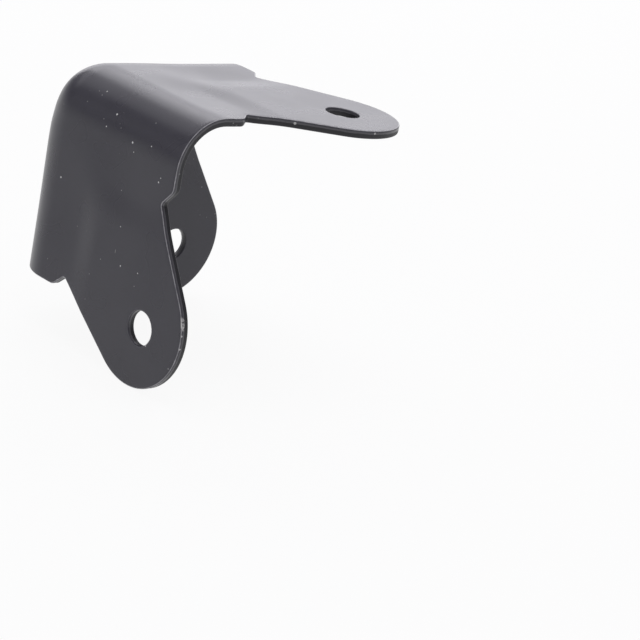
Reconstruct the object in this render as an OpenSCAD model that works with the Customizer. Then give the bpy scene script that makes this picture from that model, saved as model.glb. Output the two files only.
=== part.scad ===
// Three-leg corner for a speaker cabinet, pressed from one piece of sheet steel.
// Three flat ears lie on three faces of the cabinet and each takes one screw. Three
// bends wrap the cabinet's edges and run together in a rounded corner.
// The origin is the cabinet's own corner point, where the ears' inner faces meet.
// The top ear faces +Z, the front ear faces -Y and the side ear faces -X.

/* [Sheet] */
// Thickness of the steel sheet
sheet_t = 1.2; // [0.8:0.1:1.4]
// Outer radius of the three bends and of the rounded corner
bend_r = 7.6; // [6:0.2:8]
// Length of each bend, from the sharp outer corner to its open end
bend_len = 32; // [30:0.5:34]

/* [Ears] */
// Distance along an ear from the sharp outer corner to the centre of its round tip
ear_centre = 42.6; // [40:0.2:46]
// Radius of an ear's round tip
ear_tip_r = 9.6; // [9:0.1:11]
// Distance along an ear from the sharp outer corner to its screw hole
hole_at = 43.8; // [41:0.2:46]
// Diameter of the screw holes
hole_d = 5; // [4:0.1:6]

/* [Step between bend and ear] */
// Distance from the neighbouring face to the corner where a bend's end edge stops
step_at = 10.6; // [9.5:0.1:11.5]
// How far the step runs away from the bend
step_run = 2.3; // [1.5:0.1:3]
// How far the ear's edge starts back from the bend's end edge
step_back = 2; // [1:0.1:2.5]
// Radius on the step's outer corner
step_outer_r = 1.5; // [0.5:0.1:2]
// Radius in the step's inner corner
step_inner_r = 0.6; // [0.3:0.1:0.8]

/* [Drawn creases] */
// Distance from the neighbouring face to the middle of a crease
crease_at = 13.1; // [12.7:0.1:13.6]
// Depth of a crease at the bend's open end
crease_depth = 0.6; // [0.3:0.1:0.8]
// Width of a crease at the bend's open end
crease_w = 9.8; // [8:0.2:10.6]
// Distance from the sharp outer corner at which a crease fades out
crease_from = 9; // [8:0.5:14]

/* [Hidden] */
$fn = 96;
// Straight steps on each small corner radius of the outline
fillet_steps = 8;
// Facets of the large cylinder that scoops a crease
crease_facets = 360;
// Overlap that lets a cut pass cleanly through the sheet
clear = 1;
// The creases are shallow scoops cut by a large cylinder, whose axis leans by crease_tilt
crease_r = (crease_w * crease_w / 4 + crease_depth * crease_depth) / (2 * crease_depth);
crease_tilt = atan(crease_depth / (bend_len - crease_from));
// The axis of an ear runs at equal distances from the two neighbouring faces
ear_tip = [ear_centre, ear_centre] / sqrt(2);
hole_place = [hole_at, hole_at] / sqrt(2);
step_outer = [bend_len, step_at];
step_inner = [bend_len - step_back, step_at + step_run];

function unit(v) = v / norm(v);
function polar(r, a) = r * [cos(a), sin(a)];
function swapped(points) = [for (i = [len(points) - 1:-1:0]) [points[i].y, points[i].x]];

// Points of the arc that rounds corner b, between its neighbours a and c
function fillet(a, b, c, r) =
    let (u = unit(a - b), w = unit(c - b), half = acos(u * w) / 2)
    let (centre = b + unit(u + w) * r / sin(half))
    let (p = b + u * r / tan(half) - centre, q = b + w * r / tan(half) - centre)
    let (from = atan2(p.y, p.x), sweep = (atan2(q.y, q.x) - from + 540) % 360 - 180)
    [for (i = [0:fillet_steps]) centre + polar(r, from + sweep * i / fillet_steps)];

// Where the straight edge that starts at point p touches the ear's round tip
function touch_point(p) =
    let (d = p - ear_tip)
    ear_tip + polar(ear_tip_r, atan2(d.y, d.x) + acos(ear_tip_r / norm(d)));

// Half of a face's outline: from the bend, round the step and along the ear's edge
function half_outline() =
    let (bend_corner = [bend_len, bend_r], touch = touch_point(step_inner))
    concat(
        [bend_corner],
        fillet(bend_corner, step_outer, step_inner, step_outer_r),
        fillet(step_outer, step_inner, touch, step_inner_r),
        [touch]
    );

// Flat outline of one face, with the corner of the bends at [bend_r, bend_r]
module face_outline() {
    polygon(concat([[bend_r, bend_r]], half_outline(), swapped(half_outline())));
    translate(ear_tip) circle(r = ear_tip_r);
}

// Cylinder that presses the crease beside the bend along X, into the face at z = 0
module crease_roller(r) {
    translate([crease_from, crease_at, -crease_r])
        rotate([0, 90 - crease_tilt, 0])
            cylinder(r = r, h = 2 * bend_len, $fn = crease_facets);
}

// Both creases of one face, one beside each of its bends
module both_creases(r) {
    crease_roller(r);
    mirror([1, -1, 0]) crease_roller(r);
}

// One flat face with its ear, its two creases and its screw hole
module face() {
    difference() {
        union() {
            linear_extrude(sheet_t) face_outline();
            intersection() {
                linear_extrude(sheet_t + 2 * crease_depth) face_outline();
                both_creases(crease_r + sheet_t);
            }
        }
        both_creases(crease_r);
        translate([hole_place.x, hole_place.y, -clear])
            cylinder(d = hole_d, h = sheet_t + 2 * clear);
    }
}

// Quarter-round bend along Z, between the faces at x = 0 and y = 0
module bend() {
    translate([bend_r, bend_r, bend_r])
        rotate([0, 0, 180])
            rotate_extrude(angle = 90)
                translate([bend_r - sheet_t, 0])
                    square([sheet_t, bend_len - bend_r]);
}

// Eighth of a hollow ball where the three bends meet
module round_corner() {
    translate([bend_r, bend_r, bend_r])
        rotate([0, 0, 180])
            rotate_extrude(angle = 90)
                intersection() {
                    difference() {
                        circle(r = bend_r);
                        circle(r = bend_r - sheet_t);
                    }
                    translate([0, -bend_r]) square(bend_r);
                }
}

// The same form on each of the three faces, turned about the corner's diagonal
module three_times() {
    children();
    multmatrix([[0, 0, 1], [1, 0, 0], [0, 1, 0]]) children();
    multmatrix([[0, 1, 0], [0, 0, 1], [1, 0, 0]]) children();
}

// The whole pressed corner, with its open side towards +X, +Y and -Z
module corner() {
    color("#2c2c30")
        rotate(180, [1, 1, 0])
            translate([-sheet_t, -sheet_t, -sheet_t]) {
                three_times() face();
                three_times() bend();
                round_corner();
            }
}

corner();
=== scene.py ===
# %% [markdown]
# # Speaker cabinet corner
# A speaker cabinet corner is one piece of sheet steel, pressed to wrap the corner of a
# wooden box and coated satin black. This lesson rebuilds the coated surface over the
# CAD model of the same part: the sheet as a fine smooth mesh, then its finish, the
# studio and the camera. Every length on the part is first given in millimetres, as on a
# drawing, and becomes metres where Blender takes it. The floor and the lamps are given
# in metres.

# %% Load the CAD model
import math

import bpy
import bmesh
import numpy as np
from mathutils import Matrix, Vector
from mathutils.geometry import delaunay_2d_cdt


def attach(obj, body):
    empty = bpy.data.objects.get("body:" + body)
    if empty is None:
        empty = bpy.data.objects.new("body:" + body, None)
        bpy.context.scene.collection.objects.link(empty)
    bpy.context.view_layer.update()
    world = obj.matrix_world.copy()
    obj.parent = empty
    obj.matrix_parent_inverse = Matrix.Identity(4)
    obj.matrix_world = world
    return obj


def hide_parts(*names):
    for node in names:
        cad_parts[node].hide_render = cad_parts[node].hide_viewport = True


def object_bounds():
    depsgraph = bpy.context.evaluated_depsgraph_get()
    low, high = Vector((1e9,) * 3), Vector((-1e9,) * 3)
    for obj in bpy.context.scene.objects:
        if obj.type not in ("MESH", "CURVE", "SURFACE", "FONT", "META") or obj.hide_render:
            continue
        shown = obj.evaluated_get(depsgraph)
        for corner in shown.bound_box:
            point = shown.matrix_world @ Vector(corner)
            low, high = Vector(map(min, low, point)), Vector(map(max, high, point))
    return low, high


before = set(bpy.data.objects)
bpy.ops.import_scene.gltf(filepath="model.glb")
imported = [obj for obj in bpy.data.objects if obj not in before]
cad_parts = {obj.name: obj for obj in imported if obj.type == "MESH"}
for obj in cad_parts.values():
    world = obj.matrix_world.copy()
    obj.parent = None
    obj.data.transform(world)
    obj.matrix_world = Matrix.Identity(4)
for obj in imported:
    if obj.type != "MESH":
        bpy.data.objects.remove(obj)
cad_box = [list(corner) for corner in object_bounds()]
MM = 0.001
print("CAD box in mm:", [[round(v / MM, 2) for v in corner] for corner in cad_box])

# %% [markdown]
# ## The sizes of the pressing
# The part has the same form on each of its three faces, so one face says it all. Its
# sizes are those of the CAD source. They are measured from the sharp corner that the
# three outer faces would meet in if the bends had no radius. On one face, the first
# coordinate runs along one bend and the second one runs along the other.

# %% Name the sizes
SHEET_T = 1.2
BEND_R = 7.6
BEND_LEN = 32.0
EAR_CENTRE = 42.6
EAR_TIP_R = 9.6
HOLE_AT = 43.8
HOLE_R = 2.5
STEP_AT = 10.6
STEP_RUN = 2.3
STEP_BACK = 2.0
STEP_OUTER_R = 1.5
STEP_INNER_R = 0.6
EDGE_R = 0.2
ear_tip = np.array([EAR_CENTRE, EAR_CENTRE]) / math.sqrt(2)
hole_place = np.array([HOLE_AT, HOLE_AT]) / math.sqrt(2)
print("hole", hole_place.round(2), "tip centre", ear_tip.round(2))

# %% [markdown]
# ## The outline of one face
# The blank was cut by a punch, so its edge is made of straight lines and arcs: the end
# of a bend, a small step, the side of the ear and its round tip. Half of the outline
# is computed and the other half is its mirror image. Drawing it by hand would lose the
# tangent joins, which the eye finds at once in a glossy edge.

# %% Directions and arcs in the plane
def unit(v):
    """The direction of v, one long."""
    return v / np.linalg.norm(v)


def polar(r, a):
    """The point at distance r from the origin, at angle a in radians."""
    return r * np.array([math.cos(a), math.sin(a)])


def fillet(a, b, c, r, steps=8):
    """Points of the arc that rounds corner b between its neighbours a and c."""
    u, w = unit(a - b), unit(c - b)
    half = math.acos(u @ w) / 2
    centre = b + unit(u + w) * r / math.sin(half)
    p, q = b + u * r / math.tan(half) - centre, b + w * r / math.tan(half) - centre
    start = math.atan2(p[1], p[0])
    sweep = (math.atan2(q[1], q[0]) - start + 3 * math.pi) % (2 * math.pi) - math.pi
    return [centre + polar(r, start + sweep * i / steps) for i in range(steps + 1)]


# %% Half of the outline
def half_outline(tip_steps=40):
    """From the bend's end, round the step, along the ear's side and round to its tip."""
    bend_corner = np.array([BEND_LEN, BEND_R])
    outer = np.array([BEND_LEN, STEP_AT])
    inner = np.array([BEND_LEN - STEP_BACK, STEP_AT + STEP_RUN])
    d = inner - ear_tip
    start = math.atan2(d[1], d[0]) + math.acos(EAR_TIP_R / np.linalg.norm(d))
    touch = ear_tip + polar(EAR_TIP_R, start)
    tip = [ear_tip + polar(EAR_TIP_R, start + (math.pi / 4 - start) * i / tip_steps)
           for i in range(tip_steps + 1)]
    return ([bend_corner] + fillet(bend_corner, outer, inner, STEP_OUTER_R)
            + fillet(outer, inner, touch, STEP_INNER_R) + tip)


half = half_outline()
print("half of the outline:", len(half), "points")

# %% Space the points and add the mirror image
def spaced(points, gap):
    """The same line with its long straight stretches cut into pieces of about gap."""
    out = [points[0]]
    for p, q in zip(points[:-1], points[1:]):
        n = max(1, round(float(np.linalg.norm(q - p)) / gap))
        out += [p + (q - p) * i / n for i in range(1, n + 1)]
    return np.array(out)


OUTLINE_GAP = 0.35
outline = spaced(half + [p[::-1] for p in half[-2::-1]], OUTLINE_GAP)
print("outline points:", len(outline), "reach", outline.max().round(2))

# %% [markdown]
# ## The skin of one face
# The cut edges are rounded by the coating, so the flat skin stops short of the outline
# by the radius of that rounding, and the rounding is added once the sheet has its
# thickness. The flat skin is filled with small, even triangles by a constrained
# Delaunay triangulation, fine enough to be pressed into soft shapes afterwards. A
# single large polygon would be lighter, but it couldn't bend at all.

# %% Pull the outline in by the edge rounding
def pulled_in(line, r, first, last):
    """The line moved inwards by r. first and last are its outward normals at its ends."""
    tangent = np.diff(line, axis=0)
    tangent /= np.linalg.norm(tangent, axis=1)[:, None]
    normal = np.stack([tangent[:, 1], -tangent[:, 0]], 1)
    normal = np.vstack([[first], normal, [last]])
    mean = normal[:-1] + normal[1:]
    mean /= np.linalg.norm(mean, axis=1)[:, None]
    return line - mean * r / (mean * normal[1:]).sum(1)[:, None]


skin_edge = pulled_in(outline, EDGE_R, (1, 0), (0, 1))
print("skin edge reach", skin_edge.max().round(2))

# %% Test points against a closed line
def distance_to(points, line):
    """Distance from each point to the closed line."""
    near = np.full(len(points), np.inf)
    for p, d in zip(line, np.roll(line, -1, 0) - line):
        k = np.clip(((points - p) @ d) / (d @ d), 0, 1)
        near = np.minimum(near, np.linalg.norm(points - p - k[:, None] * d, axis=1))
    return near


def inside(points, line):
    """Whether each point lies inside the closed line."""
    x, y = points.T
    odd = np.zeros(len(points), bool)
    for (x0, y0), (x1, y1) in zip(line, np.roll(line, -1, 0)):
        if y0 != y1:
            odd ^= ((y0 > y) != (y1 > y)) & (x < (x1 - x0) * (y - y0) / (y1 - y0) + x0)
    return odd


# %% Lay out the face's rim and its hole
BEND_STEPS, HOLE_STEPS = 48, 72
along = np.linspace(BEND_R, BEND_LEN - EDGE_R, BEND_STEPS + 1)
base = np.stack([along[:-1], np.full(BEND_STEPS, BEND_R)], 1)
side = base[:0:-1, ::-1]
rim = np.vstack([base, skin_edge, side])
turn = np.linspace(0, 2 * math.pi, HOLE_STEPS, endpoint=False)
hole_rim_r = HOLE_R + EDGE_R
hole_rim = hole_place + hole_rim_r * np.stack([np.cos(turn), np.sin(turn)], 1)
print("rim:", len(rim), "points, hole:", len(hole_rim), "points")

# %% Lay a grid of points between them
GRID_GAP = 0.5
GRID_CLEAR = 0.6 * GRID_GAP
reach = np.arange(BEND_R, outline.max() + 1, GRID_GAP)
rows = np.arange(BEND_R, outline.max() + 1, GRID_GAP * math.sqrt(3) / 2)
grid = np.array([(x + (i % 2) * GRID_GAP / 2, y) for i, y in enumerate(rows) for x in reach])
grid = grid[inside(grid, rim) & (distance_to(grid, rim) > GRID_CLEAR)]
grid = grid[np.linalg.norm(grid - hole_place, axis=1) > hole_rim_r + GRID_CLEAR]
print("grid:", len(grid), "points")

# %% Fill the face with triangles
INSIDE_THE_FENCES, SAME_POINT = 1, 1e-7
flat = np.vstack([rim, hole_rim, grid])
rings = ((0, len(rim)), (len(rim), len(hole_rim)))
fences = [(start + i, start + (i + 1) % n) for start, n in rings for i in range(n)]
found = delaunay_2d_cdt([Vector(p) for p in flat], fences, [], INSIDE_THE_FENCES, SAME_POINT)
face_points = np.array([tuple(p) for p in found[0]])
face_tris = np.array([t for t in found[2] if len(t) == 3])
print("triangles, those in the hole too:", len(face_tris))

# %% Take the triangles out of the hole
# The test circle is a little smaller than the rim's, so slivers along the rim may stay.
test_r = HOLE_R + 0.9 * EDGE_R
middle = face_points[face_tris].mean(1)
past_hole = np.linalg.norm(middle - hole_place, axis=1) > test_r
face_tris = face_tris[inside(middle, rim) & past_hole]
print("face:", len(face_points), "points", len(face_tris), "triangles")

# %% [markdown]
# ## A third of the skin
# The whole part is three equal thirds: a face, the bend on one side of it and a third of
# the eighth of a ball in which the bends meet. The bend is a grid on a quarter of a
# cylinder and the ball's third is a grid of the kind that a cube projects on a ball, so
# both have the same points as the face where they meet it. A row's three coordinates
# are the depth under the three faces in turn.

# %% Start the third with its face
skin_points = [np.column_stack([face_points, np.zeros(len(face_points))])]
skin_faces = [tuple(int(i) for i in t[::-1]) for t in face_tris]
print("faces of the third so far:", len(skin_faces))

# %% Add a grid of points
def add_grid(points, flip):
    """Adds a grid of points, with shape (rows, columns, 3), as quads."""
    start = sum(len(p) for p in skin_points)
    n, m = points.shape[:2]
    skin_points.append(points.reshape(-1, 3))
    for i in range(n - 1):
        for j in range(m - 1):
            k = start + i * m + j
            quad = (k, k + 1, k + m + 1, k + m)
            skin_faces.append(quad[::-1] if flip else quad)


# %% Add the bend
ARC_STEPS = 20
phi = np.linspace(0, math.pi / 2, ARC_STEPS + 1)
bend = np.zeros((BEND_STEPS + 1, ARC_STEPS + 1, 3))
bend[..., 0] = along[:, None]
bend[..., 1] = BEND_R - BEND_R * np.sin(phi)
bend[..., 2] = BEND_R - BEND_R * np.cos(phi)
add_grid(bend, True)
print("bend:", bend.shape[0], "by", bend.shape[1], "points")

# %% Add the third of the ball
slope = np.tan(np.linspace(0, math.pi / 4, ARC_STEPS // 2 + 1))
u, v = np.meshgrid(slope, slope, indexing="ij")
ball = np.stack([u, v, np.ones_like(u)], -1)
ball = BEND_R - BEND_R * ball / np.linalg.norm(ball, axis=-1)[..., None]
add_grid(ball, False)
print("ball:", ball.shape[0], "by", ball.shape[1], "points")

# %% Join the third
JOIN_AT = 0.001 * MM
third = bpy.data.meshes.new("third_of_the_skin")
third.from_pydata([tuple(p) for p in np.vstack(skin_points) * MM], [], skin_faces)
joint = bmesh.new()
joint.from_mesh(third)
bmesh.ops.remove_doubles(joint, verts=joint.verts, dist=JOIN_AT)
joint.to_mesh(third)
joint.free()
print("third:", len(third.vertices), "points", len(third.polygons), "faces")

# %% [markdown]
# ## Helpers for node trees
# Geometry Nodes and materials are both trees of nodes. A few small functions keep their
# building short: one adds any node, and the others add a Math, a Vector Math or a Map
# Range node and give back its result. A value that is a socket is linked, and any other
# value is typed into the input.

# %% Add any node
def add(tree, kind, inputs=None, **settings):
    """A node with its settings, and its inputs set to values or linked to sockets."""
    node = tree.nodes.new(kind)
    for name, value in settings.items():
        setattr(node, name, value)
    for name, value in (inputs or {}).items():
        socket = node.inputs[name]
        if isinstance(value, bpy.types.NodeSocket):
            tree.links.new(value, socket)
        else:
            socket.default_value = value
    return node


# %% Add a sum, a product or a move
def calc(tree, operation, *values):
    """The result of one Math node."""
    inputs = dict(enumerate(values))
    return add(tree, "ShaderNodeMath", inputs, operation=operation).outputs[0]


def times(tree, first, *others):
    """The product of all the values."""
    for other in others:
        first = calc(tree, "MULTIPLY", first, other)
    return first


def vector_calc(tree, operation, *values, **named):
    """The vector that one Vector Math node gives. named is for its input Scale."""
    inputs = {**dict(enumerate(values)), **named}
    return add(tree, "ShaderNodeVectorMath", inputs, operation=operation).outputs["Vector"]


# %% Add a ramp
def remap(tree, value, low, high, to_low=0.0, to_high=1.0, smooth=True):
    """value carried from low..high to to_low..to_high, and held there beyond them."""
    inputs = {0: value, 1: low, 2: high, 3: to_low, 4: to_high}
    ramp = "SMOOTHSTEP" if smooth else "LINEAR"
    return add(tree, "ShaderNodeMapRange", inputs, interpolation_type=ramp).outputs[0]


# %% [markdown]
# ## Pressing the creases and going round the corner
# Where the sheet was drawn over the punch, a strip of each face beside the bends sinks
# a little below the flat ears. The strip starts near the corner, is deepest from the
# middle of the bend on and rises again in a long soft flank to the ear. The flanks are
# only a few tenths of a millimetre high, but they carry all the soft light and dark
# streaks of the real part. Such a strip could be sculpted, but it is a rule of place, so
# Geometry Nodes can press it: each point moves inwards, against the surface's own
# direction, by a depth that is a product of ramps.

# %% Name the sizes of the pressing
pressed_sizes = {
    "Depth": 0.38 * MM, "Start": 10.5 * MM, "Full": 22 * MM, "Bend side": 0.3 * BEND_R * MM,
    "Floor": 13.7 * MM, "Ear": 18.7 * MM, "Blend": 5 * MM,
    "Share at the end": 0.5, "Bend share at start": 0.05, "Bend share at end": 0.25,
    "Bend radius": BEND_R * MM, "Bend length": BEND_LEN * MM,
}
print("deepest crease in mm:", pressed_sizes["Depth"] / MM)

# %% Name the sizes of the bulge and of the longer bend
bulge_sizes = {
    "Bulge": 0.34 * MM, "Bulge core": 0.3 * BEND_R * MM, "Bulge start": 5.5 * MM,
    "Bulge full": 12 * MM, "Bulge at the end": -0.35,
}
longer_sizes = {
    "Longer by": 0.4 * MM, "Longer from": 20 * MM,
    "Near the bend": 12 * MM, "Off the bend": 17 * MM,
}
tree_sizes = {**pressed_sizes, **bulge_sizes, **longer_sizes}
print("sizes for the tree:", len(tree_sizes))

# %% Start the pressing tree
press = bpy.data.node_groups.new("press_and_turn", "GeometryNodeTree")
sockets = {}
numbers = [(name, "Float") for name in tree_sizes]
for name, kind in [("Third", "Geometry"), *numbers, ("Coating", "Material")]:
    sockets[name] = press.interface.new_socket(
        name, in_out="INPUT", socket_type="NodeSocket" + kind)
press.interface.new_socket("Skin", in_out="OUTPUT", socket_type="NodeSocketGeometry")
given = add(press, "NodeGroupInput").outputs
here = add(press, "GeometryNodeInputPosition").outputs[0]
place = add(press, "ShaderNodeSeparateXYZ", {0: here}).outputs
print("inputs of the tree:", len(sockets))

# %% [markdown]
# A point's place in the strip is told by two distances: how far it lies from the nearer
# bend's outer face, called across, and how far along that bend, called ahead. Smooth
# minimum and smooth maximum nodes tell them apart, so that the strips of the two bends
# of a face run into each other without a line along the face's diagonal.

# %% Find how deep each point sinks
off_edge = calc(press, "MAXIMUM", place[1], place[2])
across = calc(press, "SMOOTH_MIN", place[0], off_edge, given["Blend"])
ahead = calc(press, "SMOOTH_MAX", place[0], off_edge, given["Blend"])
share = remap(press, ahead, given["Start"], given["Bend length"],
              given["Bend share at start"], given["Bend share at end"], smooth=False)
bend_side = remap(press, across, given["Bend side"], given["Floor"], share, 1.0)
ear_side = remap(press, across, given["Ear"], given["Floor"])
runs_in = remap(press, ahead, given["Start"], given["Full"])
runs_out = remap(press, ahead, given["Full"], given["Bend length"], 1.0, given["Share at the end"])
sunk = times(press, bend_side, ear_side, runs_in, runs_out, given["Depth"])
print("nodes that find the depth:", len(press.nodes))

# %% Move each point inwards
def move(geometry, offset):
    """The geometry with every point moved by its own offset."""
    inputs = {"Geometry": geometry, "Offset": offset}
    return add(press, "GeometryNodeSetPosition", inputs).outputs[0]


# The way out of the surface is straight up on a face and away from the axis on a bend.
bend_axis = add(press, "ShaderNodeCombineXYZ", dict.fromkeys(range(3), given["Bend radius"]))
from_axis = vector_calc(press, "SUBTRACT", here, bend_axis.outputs[0])
outwards = vector_calc(press, "NORMALIZE", vector_calc(press, "MINIMUM", from_axis, (0, 0, 0)))
inwards = vector_calc(press, "SCALE", outwards, Scale=calc(press, "MULTIPLY", sunk, -1.0))
pressed = move(given["Third"], inwards)
print("nodes up to the creases:", len(press.nodes))

# %% [markdown]
# Three copies of the pressed third, each turned a third of a turn about the corner's
# diagonal, make the whole skin. The axis of that turn is (1, 1, 1), because the three
# faces take each other's places. The copies are made real and their edges are merged.

# %% Turn three copies and join them
COPIES = 3
turns = add(press, "GeometryNodeMeshLine", {"Count": COPIES, "Offset": (0, 0, 0)}).outputs[0]
index = add(press, "GeometryNodeInputIndex").outputs[0]
about = add(press, "FunctionNodeAxisAngleToRotation", {
    "Axis": (1, 1, 1), "Angle": calc(press, "MULTIPLY", index, 2 * math.pi / COPIES)}).outputs[0]
thirds = add(press, "GeometryNodeInstanceOnPoints", {
    "Points": turns, "Instance": pressed, "Rotation": about}).outputs[0]
whole = add(press, "GeometryNodeRealizeInstances", {0: thirds}).outputs[0]
joined = add(press, "GeometryNodeMergeByDistance", {
    "Geometry": whole, "Distance": 2 * JOIN_AT}).outputs[0]
print("nodes up to the whole skin:", len(press.nodes))

# %% [markdown]
# No pressing comes out of its tool quite true. On this one the bend between the front
# and the side stands a few tenths of a millimetre proud below the corner and falls
# back towards its open end, which shows in its outline. This part of the tree moves
# only the points of that bend, along the line between the two faces.

# %% Bulge the bend between the front and the side
turned = add(press, "GeometryNodeInputPosition").outputs[0]
turned = add(press, "ShaderNodeSeparateXYZ", {0: turned}).outputs
off_bend = calc(press, "MAXIMUM", turned[0], turned[1])
on_bend = remap(press, off_bend, given["Bend radius"], given["Bulge core"])
starts = remap(press, turned[2], given["Bulge start"], given["Start"])
falls = remap(press, turned[2], given["Bulge full"], given["Bend length"],
              1.0, given["Bulge at the end"], smooth=False)
# A move of 1 along the diagonal between two faces is the root of a half along each.
push = times(press, on_bend, starts, falls, given["Bulge"], -math.sqrt(0.5))
bulged = move(joined, add(press, "ShaderNodeCombineXYZ", {0: push, 1: push}).outputs[0])
print("nodes up to the bulge:", len(press.nodes))

# %% [markdown]
# The bend between the top and the front is also a little longer than the other two. Its
# end and the steps beside it are drawn out along the bend, and the shift fades out
# towards the corner and along the sides of the two ears.

# %% Draw out the end of the bend between the top and the front
beside = calc(press, "MAXIMUM", turned[0], turned[2])
near_bend = remap(press, beside, given["Off the bend"], given["Near the bend"])
near_end = remap(press, turned[1], given["Longer from"], given["Bend length"])
shift = times(press, near_bend, near_end, given["Longer by"])
drawn_out = move(bulged, add(press, "ShaderNodeCombineXYZ", {1: shift}).outputs[0])
print("nodes up to the longer bend:", len(press.nodes))

# %% Coat the skin and end the tree
coated = add(press, "GeometryNodeSetMaterial", {
    "Geometry": drawn_out, "Material": given["Coating"]}).outputs[0]
add(press, "NodeGroupOutput", {0: coated})
print("pressing tree:", len(press.nodes), "nodes")

# %% [markdown]
# ## The finish: groups for small effects
# The coat is satin black. It is not perfectly even: it has a slight waviness, faint
# cloudy patches, dust that catches the light and cut edges where it is thin. Each effect
# is a node group with named inputs and outputs, so it can be read, tested and used again
# on its own. All patterns use Object coordinates, which stay with the piece. The sizes
# of the patterns are in millimetres.

# %% Start a group
def new_group(name, sizes, results):
    """An empty shader node group with a Place, its group inputs and a function that fills
    a result. sizes are the number inputs with their usual values."""
    group = bpy.data.node_groups.new(name, "ShaderNodeTree")
    group.interface.new_socket("Place", in_out="INPUT", socket_type="NodeSocketVector")
    for label, value in sizes.items():
        socket = group.interface.new_socket(label, in_out="INPUT", socket_type="NodeSocketFloat")
        socket.default_value = value
    for label in results:
        group.interface.new_socket(label, in_out="OUTPUT", socket_type="NodeSocketFloat")
    end = add(group, "NodeGroupOutput")

    def give(label, result):
        group.links.new(result, end.inputs[label])

    return group, add(group, "NodeGroupInput").outputs, give


# %% Group for dust
RARE_LARGE = 2.0
dust, given, give = new_group("dust_specks", {"Cell size": 1.8, "Speck size": 0.1}, ["Mask"])
cell_scale = calc(dust, "DIVIDE", 1 / MM, given["Cell size"])
scaled = vector_calc(dust, "SCALE", given["Place"], Scale=cell_scale)
cells = add(dust, "ShaderNodeTexVoronoi", {"Vector": scaled, "Scale": 1.0}, feature="F1").outputs
away = calc(dust, "MULTIPLY", cells["Distance"], given["Cell size"])
chance = add(dust, "ShaderNodeSeparateColor", {0: cells["Color"]}).outputs
size = times(dust, given["Speck size"], calc(dust, "POWER", chance[0], RARE_LARGE))
give("Mask", times(dust, calc(dust, "LESS_THAN", away, size), chance[1]))
print("dust group:", len(dust.nodes), "nodes")

# %% Group for the coat's waviness and patches
def noise(tree, place, size, detail, roughness):
    """The value of a Noise node. size is about its largest clouds' width in millimetres."""
    scale = calc(tree, "DIVIDE", 1 / MM, size)
    return add(tree, "ShaderNodeTexNoise", {
        "Vector": place, "Scale": scale, "Detail": detail, "Roughness": roughness}).outputs["Fac"]


PATCH_FROM_TO = 0.3, 0.7
coat, given, give = new_group(
    "coat_surface", {"Grain size": 0.35, "Patch size": 7.0}, ["Height", "Patches"])
grain = noise(coat, given["Place"], given["Grain size"], detail=2.0, roughness=0.5)
cloud = noise(coat, given["Place"], given["Patch size"], detail=1.0, roughness=0.55)
give("Height", grain)
give("Patches", remap(coat, cloud, *PATCH_FROM_TO))
print("coat group:", len(coat.nodes), "nodes")

# %% [markdown]
# A punched edge has three zones. The punch first bends the sheet's front over, then
# shears it smooth and bright, and at last the rest breaks off dull and dark; its colour
# here is partly painted shade, darker than bare fracture. The rounded front of the edge
# is a painted highlight, a thin light line where it catches the light, partly rubbed
# coat. The mesh will carry three values for this group: how far round the edge a point
# lies, how far through the sheet, and how strong that painted highlight is on that edge.
# Round is 0 on the face and 1 on the cut. Through is 0 at the front and 1 at the back.

# %% Group for the cut edges: the painted highlight on the front
# Each pair says where a zone begins and where it is full, as Round, Through or noise.
OFF_FACE, BEFORE_CUT, FRONT_HALF, PATCHY_FROM_TO = (0.02, 0.2), (0.7, 0.4), (0.5, 0.3), (0.3, 0.65)
PATCHY_LEAST = 0.5
cuts, given, give = new_group(
    "punched_edge", {"Round": 0.0, "Through": 0.0, "Highlight and rub": 1.0, "Ragged size": 1.1},
    ["Highlight and bare", "Sheared", "Broken and shaded"])
ragged = noise(cuts, given["Place"], given["Ragged size"], detail=4.0, roughness=0.6)
off_face = remap(cuts, given["Round"], *OFF_FACE)
before_cut = remap(cuts, given["Round"], *BEFORE_CUT)
front_half = remap(cuts, given["Through"], *FRONT_HALF)
# The rounded front gets a painted highlight, partly bare rubbed coat, made patchy by noise.
patchy_rim = remap(cuts, ragged, *PATCHY_FROM_TO, PATCHY_LEAST, 1.0)
give("Highlight and bare", times(cuts, off_face, before_cut, front_half, given["Highlight and rub"], patchy_rim))
print("cut edge group so far:", len(cuts.nodes), "nodes")

# %% Group for the cut edges: the sheared zone and the broken zone with its painted shade
ON_CUT, BREAKS, BRIGHTENS = (0.5, 0.9), (0.38, 0.46), (0.05, 0.4)
WAVE_FROM_TO, WAVE, BRIGHT_AT_FRONT = (0.2, 0.8), 0.06, 0.3
wave = remap(cuts, ragged, *WAVE_FROM_TO, -WAVE, WAVE, smooth=False)
wavy = calc(cuts, "ADD", given["Through"], wave)
on_cut = remap(cuts, given["Round"], *ON_CUT)
below = remap(cuts, wavy, *BREAKS)
brighter = remap(cuts, wavy, *BRIGHTENS, BRIGHT_AT_FRONT, 1.0)
give("Sheared", times(cuts, on_cut, brighter, calc(cuts, "SUBTRACT", 1.0, below)))
# The broken zone's mask also carries painted shade, darker than bare fracture.
give("Broken and shaded", times(cuts, on_cut, below))
print("cut edge group:", len(cuts.nodes), "nodes")

# %% [markdown]
# ## The coated steel
# One material carries the whole piece. A Principled BSDF gives the coat: nearly black
# with a touch of violet, satin, with the ordinary gloss of a resin. Where the coat is
# chipped, the shader turns metallic and bright. The cut edges come from the three
# values on the mesh, with a painted highlight along their rounded front and painted
# shade in their broken zone.

# %% Start the material
steel = bpy.data.materials.new("satin_black_coat")
steel.use_nodes = True
nodes = steel.node_tree
nodes.nodes.clear()
on_piece = add(nodes, "ShaderNodeTexCoord").outputs["Object"]
print("material:", steel.name)

# %% Place a group and mix two colours
def place_group(group, inputs):
    """One of the groups above, placed in the material with its own values."""
    return add(nodes, "ShaderNodeGroup", {"Place": on_piece, **inputs}, node_tree=group).outputs


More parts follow.
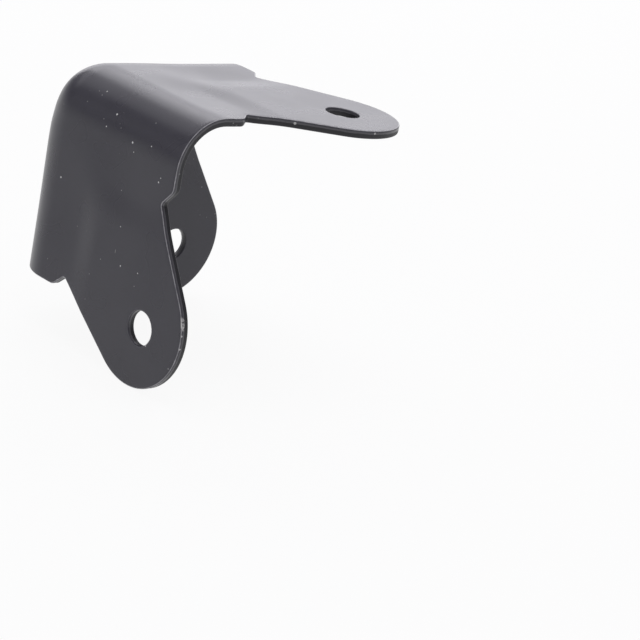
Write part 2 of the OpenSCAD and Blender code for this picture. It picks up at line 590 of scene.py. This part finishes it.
def mix(amount, a, b):
    """Colour a, with amount of colour b over it. 6, 7 and 2 are the Mix node's colours."""
    return add(nodes, "ShaderNodeMix", {0: amount, 6: a, 7: b}, data_type="RGBA").outputs[2]


# %% Colour the coat and the cut edges
COAT_DARK, COAT_LIGHT = (0.0300, 0.0281, 0.0412, 1), (0.0350, 0.0331, 0.0462, 1)
# The light grey below is a painted highlight on the rounded front of a cut, partly bare rubbed
# steel.
HIGHLIGHT_AND_BARE_STEEL, SHEARED_STEEL = (0.42, 0.415, 0.43, 1), (0.10, 0.098, 0.106, 1)
# The broken zone's colour is partly painted shade, darker than bare fracture.
BROKEN_AND_SHADED_STEEL = (0.014, 0.0135, 0.017, 1)
surface = place_group(coat, {"Grain size": 0.3, "Patch size": 7.0})
round_edge, through, highlight_and_rub = (add(nodes, "ShaderNodeAttribute", attribute_name=name).outputs["Fac"]
                               for name in ("round_edge", "through", "highlight_and_rub"))
edge = place_group(cuts, {"Round": round_edge, "Through": through, "Highlight and rub": highlight_and_rub})
tone = mix(surface["Patches"], COAT_DARK, COAT_LIGHT)
# Over the coat go the rim's painted highlight, partly bare rubbed steel, the sheared zone and the
# broken zone, partly painted shade.
for zone, colour in (("Highlight and bare", HIGHLIGHT_AND_BARE_STEEL), ("Sheared", SHEARED_STEEL), ("Broken and shaded", BROKEN_AND_SHADED_STEEL)):
    tone = mix(edge[zone], tone, colour)
print("material so far:", len(nodes.nodes), "nodes")

# %% [markdown]
# Fine dust lies all over the piece. Some specks show so well that they lie at places of
# their own, on the front face and the bend above it. Each one is a small ball in space,
# in millimetres from the part's origin, in which the coat changes. The balls are longer
# across the sheet, so that they meet its surface surely.

# %% A mark at a place of its own
SOFT_RIM = 0.25


def spot(x, y, z, r, deep=1.0, tall=1.0):
    """1 within about r millimetres of a place. deep and tall stretch it along Y and Z."""
    off = vector_calc(nodes, "SUBTRACT", on_piece, (x * MM, y * MM, z * MM))
    off = vector_calc(nodes, "MULTIPLY", off, (1, 1 / deep, 1 / tall))
    far = add(nodes, "ShaderNodeVectorMath", {0: off}, operation="LENGTH").outputs["Value"]
    return remap(nodes, far, (1 + SOFT_RIM) * r * MM, (1 - SOFT_RIM) * r * MM)


def over(first, second, amount=1.0):
    """The larger of two masks, the second one at amount of its strength."""
    return calc(nodes, "MAXIMUM", first, times(nodes, second, amount))


# %% Name the places of the specks
bright_specks = (
    (21.0, -1.0, -5.5, 0.15), (16.0, -0.4, -3.0, 0.14), (7.3, -1.1, -15.2, 0.13),
    (27.8, -1.0, -9.0, 0.12), (23.5, -1.2, -22.8, 0.10), (15.0, -1.0, -5.1, 0.10),
    (24.9, -0.9, -4.8, 0.09), (27.3, -1.2, -22.5, 0.09), (11.5, 1.0, -1.1, 0.09),
    (28.1, -1.0, -8.3, 0.08), (21.6, -1.0, -6.7, 0.08), (22.0, -1.2, -17.5, 0.08))
faint_specks = (
    (20.4, -0.8, -12.7), (10.2, 0.6, -1.4), (7.5, -1.1, -27.6), (9.4, -0.5, -3.2),
    (14.0, -0.9, -4.3), (19.1, -1.2, -23.4), (27.1, -1.2, -24.5), (11.2, 0.4, -1.7),
    (23.5, 0.4, -1.9), (17.3, -1.2, -26.3), (17.9, -0.9, -4.4))
print("specks:", len(bright_specks), "bright and", len(faint_specks), "faint")

# %% Lay the dust
SHARE_OF_DUST, SHARE_OF_FAINT, SHARE_OF_SCRATCH = 0.3, 0.5, 0.25
SPECK_DEEP, FAINT_R = 2.0, 0.07
SCRATCH, SCRATCH_TALL = (21.9, -1.2, -21.2, 0.06), 5.0
fine_dust = place_group(dust, {"Cell size": 1.25, "Speck size": 0.13})["Mask"]
specks = times(nodes, fine_dust, SHARE_OF_DUST)
for x, y, z, r in bright_specks:
    specks = over(specks, spot(x, y, z, r, deep=SPECK_DEEP))
for x, y, z in faint_specks:
    specks = over(specks, spot(x, y, z, FAINT_R, deep=SPECK_DEEP), SHARE_OF_FAINT)
specks = over(specks, spot(*SCRATCH, tall=SCRATCH_TALL), SHARE_OF_SCRATCH)
print("with dust and a scratch:", len(nodes.nodes), "nodes")

# %% [markdown]
# The cut edge has lost its coat in a few places: a torn chip on the front ear's tip,
# nicks along the edges of the front and top ears and a rubbed line in the front hole.
# Noise tears the outline of the larger ones.

# %% Chip the cut edges
EAR_CHIP, HOLE_LINE, HOLE_LINE_TALL = (38.0, -1.05, -26.0, 0.85), (32.4, -1.1, -29.7, 0.45), 3.4
TORN_SIZE, CHIP_TEARS, LINE_TEARS, OFF_FLAT = 0.45 * MM, (0.42, 0.52), (0.45, 0.6), (0.01, 0.08)
SHARE_OF_LINE, SHARE_OF_NICKS = 0.45, 0.7
rim_nicks = ((38.4, -1.1, -27.6, 0.13), (38.45, -1.05, -29.5, 0.13), (37.1, -1.2, -32.9, 0.08),
             (31.7, -1.15, -31.6, 0.14), (32.8, 17.6, 0.75, 0.2), (38.5, 28.0, 0.85, 0.15))
torn = add(nodes, "ShaderNodeTexNoise", {
    "Vector": on_piece, "Scale": 1 / TORN_SIZE, "Detail": 3.0}).outputs["Fac"]
chip = times(nodes, spot(*EAR_CHIP), remap(nodes, torn, *CHIP_TEARS),
             remap(nodes, through, *FRONT_HALF))
line = times(nodes, spot(*HOLE_LINE, tall=HOLE_LINE_TALL), remap(nodes, torn, *LINE_TEARS))
chip = times(nodes, over(chip, line, SHARE_OF_LINE), remap(nodes, round_edge, *OFF_FLAT))
for x, y, z, r in rim_nicks:
    chip = over(chip, spot(x, y, z, r), SHARE_OF_NICKS)
print("with chips:", len(nodes.nodes), "nodes")

# %% [markdown]
# The gloss changes a little with the patches, and the broken zone of a cut is dull. Dust
# only lightens the colour. The bump is only as high as the waviness of a sprayed or dipped
# coat, less than a thousandth of a millimetre.

# %% Find the gloss and the waviness
GLOSS_FROM_TO, BROKEN_DULLER = (0.27, 0.30), 0.24
WAVE_HEIGHT, WAVE_SHARE = 0.02 * MM, 0.03
gloss = remap(nodes, surface["Patches"], 0.0, 1.0, *GLOSS_FROM_TO, smooth=False)
gloss = calc(nodes, "ADD", gloss, times(nodes, edge["Broken and shaded"], BROKEN_DULLER))
bump = add(nodes, "ShaderNodeBump", {
    "Strength": WAVE_SHARE, "Distance": WAVE_HEIGHT, "Height": surface["Height"]}).outputs[0]
print("with gloss and waviness:", len(nodes.nodes), "nodes")

# %% Join it all in the shader
DUST_GREY, CHIP_GREY, CHIP_METAL = (0.75, 0.75, 0.73, 1), (0.62, 0.61, 0.60, 1), 0.8
RESIN_IOR = 1.5
tone = mix(chip, mix(specks, tone, DUST_GREY), CHIP_GREY)
finish = add(nodes, "ShaderNodeBsdfPrincipled", {
    "Base Color": tone, "Roughness": gloss, "Metallic": times(nodes, chip, CHIP_METAL),
    "Normal": bump, "IOR": RESIN_IOR}).outputs[0]
add(nodes, "ShaderNodeOutputMaterial", {"Surface": finish})
print("whole material:", len(nodes.nodes), "nodes")

# %% [markdown]
# ## Run the pressing tree
# The tree runs as a modifier on the third. Its inputs are set by their identifiers
# before the object is evaluated, and the result is read back as a plain mesh, so that
# nothing depends on the modifier afterwards.

# %% Press the skin
mould = bpy.data.objects.new("mould", third)
bpy.context.scene.collection.objects.link(mould)
run = mould.modifiers.new("press", "NODES")
run.node_group = press
for name, value in tree_sizes.items():
    run[sockets[name].identifier] = value
run[sockets["Coating"].identifier] = steel
skin = bpy.data.meshes.new_from_object(mould.evaluated_get(bpy.context.evaluated_depsgraph_get()))
mould.modifiers.remove(run)
bpy.data.objects.remove(mould)
outer = np.array([v.co for v in skin.vertices]) / MM
normals = np.array([v.normal for v in skin.vertices])
faces = [tuple(p.vertices) for p in skin.polygons]
print("skin:", len(outer), "points", len(faces), "faces")

# %% [markdown]
# ## Thickness and rounded cut edges
# A second skin lies one sheet thickness behind the first. Round every open edge, the
# outline and the three holes, rows of points join the two: a quarter round out of the
# front skin, the straight cut and a quarter round into the back skin. A Bevel modifier
# would do this less evenly on such small triangles, and the rows also mark the cut edge
# for the material.

# %% Find the open edges
def open_loops(faces):
    """The mesh's open edges, chained into loops that keep the faces on their left."""
    edges = {(f[i], f[(i + 1) % len(f)]) for f in faces for i in range(len(f))}
    after = {a: b for a, b in edges if (b, a) not in edges}
    found = []
    while after:
        start, loop = next(iter(after)), []
        while start in after:
            loop.append(start)
            start = after.pop(start)
        found.append(loop)
    return found


loops = open_loops(faces)
print("open edges:", sorted(len(loop) for loop in loops))

# %% The section of a cut edge
ROUND_ROWS = 5
quarter = np.linspace(0, math.pi / 2, ROUND_ROWS + 1)[1:]
front_round = [(EDGE_R * math.sin(q), EDGE_R * (1 - math.cos(q)), 2 * q / math.pi) for q in quarter]
section = front_round + [(out, SHEET_T - depth, mark) for out, depth, mark in front_round[::-1]]
print("rows round each edge:", len(section))

# %% Lay the back skin behind the front one
count = len(outer)
points = [outer, outer - normals * SHEET_T]
marks = [np.zeros((count, 3)), np.tile([0.0, 1.0, 0.0], (count, 1))]
solid_faces = faces + [tuple(i + count for i in f[::-1]) for f in faces]
print("two skins:", sum(len(p) for p in points), "points", len(solid_faces), "faces")

# %% Close the open edges between the two skins
# The third value on each point is the strength of the painted highlight along a cut's rounded
# front, partly rubbed coat: full on the outline, faint in the holes.
HIGHLIGHT_AND_RUB_OUTLINE, HIGHLIGHT_AND_RUB_HOLE = 1.0, 0.2
total = 2 * count
for loop in loops:
    highlight_and_rub_share = HIGHLIGHT_AND_RUB_OUTLINE if len(loop) > HOLE_STEPS else HIGHLIGHT_AND_RUB_HOLE
    marks[0][loop, 2] = highlight_and_rub_share
    at, n = outer[loop], normals[loop]
    away = np.cross(np.roll(at, -1, 0) - np.roll(at, 1, 0), n)
    away /= np.linalg.norm(away, axis=1)[:, None]
    rows_of = [loop]
    for out, depth, mark in section:
        points.append(at + away * out - n * depth)
        marks.append(np.tile([mark, depth / SHEET_T, highlight_and_rub_share], (len(loop), 1)))
        rows_of.append(range(total, total + len(loop)))
        total += len(loop)
    rows_of.append([i + count for i in loop])
    for near, far in zip(rows_of[:-1], rows_of[1:]):
        for i in range(len(loop)):
            j = (i + 1) % len(loop)
            solid_faces.append((near[j], near[i], far[i], far[j]))
points, marks = np.vstack(points), np.vstack(marks)
print("sheet:", len(points), "points", len(solid_faces), "faces")

# %% [markdown]
# The rows of numbers are still in the tree's own order, with the depth under each face
# as a coordinate. In the part's frame, the origin is where the inner faces meet, X and Y
# run along the top face and Z points up, so the first two are swapped and the third one
# is turned round.

# %% Make the piece
placed = np.stack([points[:, 1] - SHEET_T, points[:, 0] - SHEET_T, SHEET_T - points[:, 2]], 1) * MM
mesh = bpy.data.meshes.new("pressed_sheet")
mesh.from_pydata([tuple(p) for p in placed], [], solid_faces)
for name, column in zip(("round_edge", "through", "highlight_and_rub"), marks.T):
    values = np.ascontiguousarray(column, np.float32)
    mesh.attributes.new(name, "FLOAT", "POINT").data.foreach_set("value", values)
mesh.shade_smooth()
mesh.materials.append(steel)
corner = bpy.data.objects.new("pressed_sheet", mesh)
bpy.context.scene.collection.objects.link(corner)
print("values on the piece:", [a.name for a in mesh.attributes if a.data_type == "FLOAT"])

# %% Measure it and put it on the frame
measure = bmesh.new()
measure.from_mesh(mesh)
print("volume in mm3:", round(measure.calc_volume(signed=True) / MM ** 3, 1),
      "open edges left:", sum(not e.is_manifold for e in measure.edges))
measure.free()
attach(corner, "root")
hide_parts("corner")

# %% [markdown]
# ## The studio floor
# A pale floor carries the piece and takes its soft shadow. Part of its shader gives off
# light of its own, but only to the camera and to reflections, so the picture's ground is
# near white while the lamps stay at a plain level. To reflections the glow is a little
# dimmer in front of the piece, as on a table that is lit from behind, so that the gloss
# shows no hard skyline.

# %% Build the floor
HALF_FLOOR, GAP_BELOW = 6.0, 0.05 * MM
low = cad_box[0][2] - GAP_BELOW
floor_points = [(HALF_FLOOR * x, HALF_FLOOR * y, low)
                for x, y in ((-1, -1), (1, -1), (1, 1), (-1, 1))]
floor_mesh = bpy.data.meshes.new("floor")
floor_mesh.from_pydata(floor_points, [], [(0, 1, 2, 3)])
floor = bpy.data.objects.new("floor", floor_mesh)
bpy.context.scene.collection.objects.link(floor)
print("floor height in mm:", round(low / MM, 2))

# %% Colour the floor
FLOOR_GREY, WHITE, GLOW_SHARE = (0.85, 0.85, 0.85, 1), (1, 1, 1, 1), 0.92
DIM_FROM_TO, FRONT_GLOW = (-0.15, 0.0), 0.75
paper = bpy.data.materials.new("pale_floor")
paper.use_nodes = True
tree = paper.node_tree
tree.nodes.clear()
rays = add(tree, "ShaderNodeLightPath").outputs
on_floor = add(tree, "ShaderNodeNewGeometry").outputs["Position"]
on_floor = add(tree, "ShaderNodeSeparateXYZ", {0: on_floor}).outputs
seen = calc(tree, "MAXIMUM", rays["Is Camera Ray"], rays["Is Glossy Ray"])
dimmed = remap(tree, on_floor["Y"], *DIM_FROM_TO, FRONT_GLOW, 1.0, smooth=False)
dimmed = calc(tree, "MAXIMUM", rays["Is Camera Ray"], dimmed)
matt = add(tree, "ShaderNodeBsdfDiffuse", {"Color": FLOOR_GREY}).outputs[0]
glow = add(tree, "ShaderNodeEmission", {"Color": WHITE, "Strength": dimmed}).outputs[0]
both = add(tree, "ShaderNodeMixShader", {0: times(tree, seen, GLOW_SHARE), 1: matt, 2: glow})
add(tree, "ShaderNodeOutputMaterial", {"Surface": both.outputs[0]})
floor_mesh.materials.append(paper)
print("floor shader:", len(tree.nodes), "nodes")

# %% [markdown]
# ## Light
# Dark gloss shows its lamps more than its colour, so the lamps were placed by what each
# face mirrors. Two long lamps stand behind the piece to the left, one above the other:
# the top face mirrors them at a low angle and turns pale, and its creases show as
# streaks. Three square ones, above, in front and to the left, light the front face and
# soften the shadow. The world is a dim dome that fills the shadows, a little lighter
# low down, and white to the camera. All have a faint violet cast.

# %% Set the world
# The dome's strength changes with the height of a direction, from 0 level to 1 upright.
DOME_TINT, DOME_FROM_TO, DOME_LOW, DOME_HIGH = (0.955, 0.945, 1.0, 1), (0.0, 0.2), 0.6, 0.3
world = bpy.data.worlds.new("studio")
bpy.context.scene.world = world
world.use_nodes = True
tree = world.node_tree
tree.nodes.clear()
rays = add(tree, "ShaderNodeLightPath").outputs
sky = add(tree, "ShaderNodeTexCoord").outputs["Generated"]
height = add(tree, "ShaderNodeSeparateXYZ", {0: sky}).outputs["Z"]
strength = remap(tree, height, *DOME_FROM_TO, DOME_LOW, DOME_HIGH)
dome = add(tree, "ShaderNodeBackground", {"Color": DOME_TINT, "Strength": strength}).outputs[0]
white = add(tree, "ShaderNodeBackground", {"Color": WHITE, "Strength": 1.0}).outputs[0]
both = add(tree, "ShaderNodeMixShader", {0: rays["Is Camera Ray"], 1: dome, 2: white})
add(tree, "ShaderNodeOutputWorld", {"Surface": both.outputs[0]})
print("world:", len(tree.nodes), "nodes")

# %% A soft lamp
LAMP_TINT = (0.965, 0.955, 1.0)
AIM = Vector((15, 15, -15)) * MM


def soft_lamp(name, direction, far, size, radiance):
    """A lamp that faces the piece from a direction. radiance is how bright its face looks."""
    lamp = bpy.data.lights.new(name, "AREA")
    lamp.shape = "RECTANGLE"
    lamp.size, lamp.size_y = size
    lamp.energy = radiance * math.pi * size[0] * size[1]
    lamp.color = LAMP_TINT
    holder = bpy.data.objects.new(name, lamp)
    bpy.context.scene.collection.objects.link(holder)
    away = Vector(direction).normalized()
    holder.location = AIM + away * far
    holder.rotation_euler = away.to_track_quat("Z", "Y").to_euler()
    print(name, "gives", round(lamp.energy, 2), "W")


# %% Hang the lamps
soft_lamp("high_back_lamp", (-0.60, 0.52, 0.61), far=1.0, size=(0.9, 0.35), radiance=2.85)
soft_lamp("low_back_lamp", (-0.70, 0.66, 0.25), far=1.0, size=(0.9, 0.4), radiance=1.53)
soft_lamp("top_lamp", (0.05, 0.0, 1.0), far=0.8, size=(0.7, 0.7), radiance=1.78)
soft_lamp("front_lamp", (-0.50, -0.75, 0.43), far=0.9, size=(0.5, 0.5), radiance=0.58)
soft_lamp("left_lamp", (-0.75, -0.10, 0.65), far=0.9, size=(0.5, 0.5), radiance=0.95)

# %% [markdown]
# ## Camera
# The camera stands off the open end of the bend between the top and the front face, and
# sees both faces at a slant. Its place, its roll and its long lens were worked out from
# the outlines of the piece, so the picture has the same perspective as the reference. A
# matrix of three unit vectors, right, up and back, sets the roll without any trial and
# error.

# %% Find the camera's three directions
azimuth, elevation, roll = (math.radians(a) for a in (43.12, 17.89, 12.28))
back = Vector((math.sin(azimuth) * math.cos(elevation), -math.cos(azimuth) * math.cos(elevation),
               math.sin(elevation)))
level = Vector((math.cos(azimuth), math.sin(azimuth), 0))
upright = back.cross(level)
right = math.cos(roll) * level + math.sin(roll) * upright
up = back.cross(right)
print("right, up and back:", [tuple(round(v, 3) for v in d) for d in (right, up, back)])

# %% Set the camera
CAMERA_AT = Vector((262.578, -214.217, 78.619)) * MM
FRAME_PX, FOCAL_PX, SENSOR_WIDTH = 640, 2391.7, 36
NEAREST, FURTHEST = 0.01, 20
lens = bpy.data.cameras.new("camera")
lens.sensor_width = SENSOR_WIDTH
lens.lens = SENSOR_WIDTH * FOCAL_PX / FRAME_PX
lens.clip_start, lens.clip_end = NEAREST, FURTHEST
camera = bpy.data.objects.new("camera", lens)
bpy.context.scene.collection.objects.link(camera)
facing = Matrix((right, up, back)).transposed().to_4x4()
camera.matrix_world = Matrix.Translation(CAMERA_AT) @ facing
bpy.context.scene.camera = camera
bpy.context.scene.view_settings.view_transform = "Standard"
print("lens in mm:", round(lens.lens, 1))
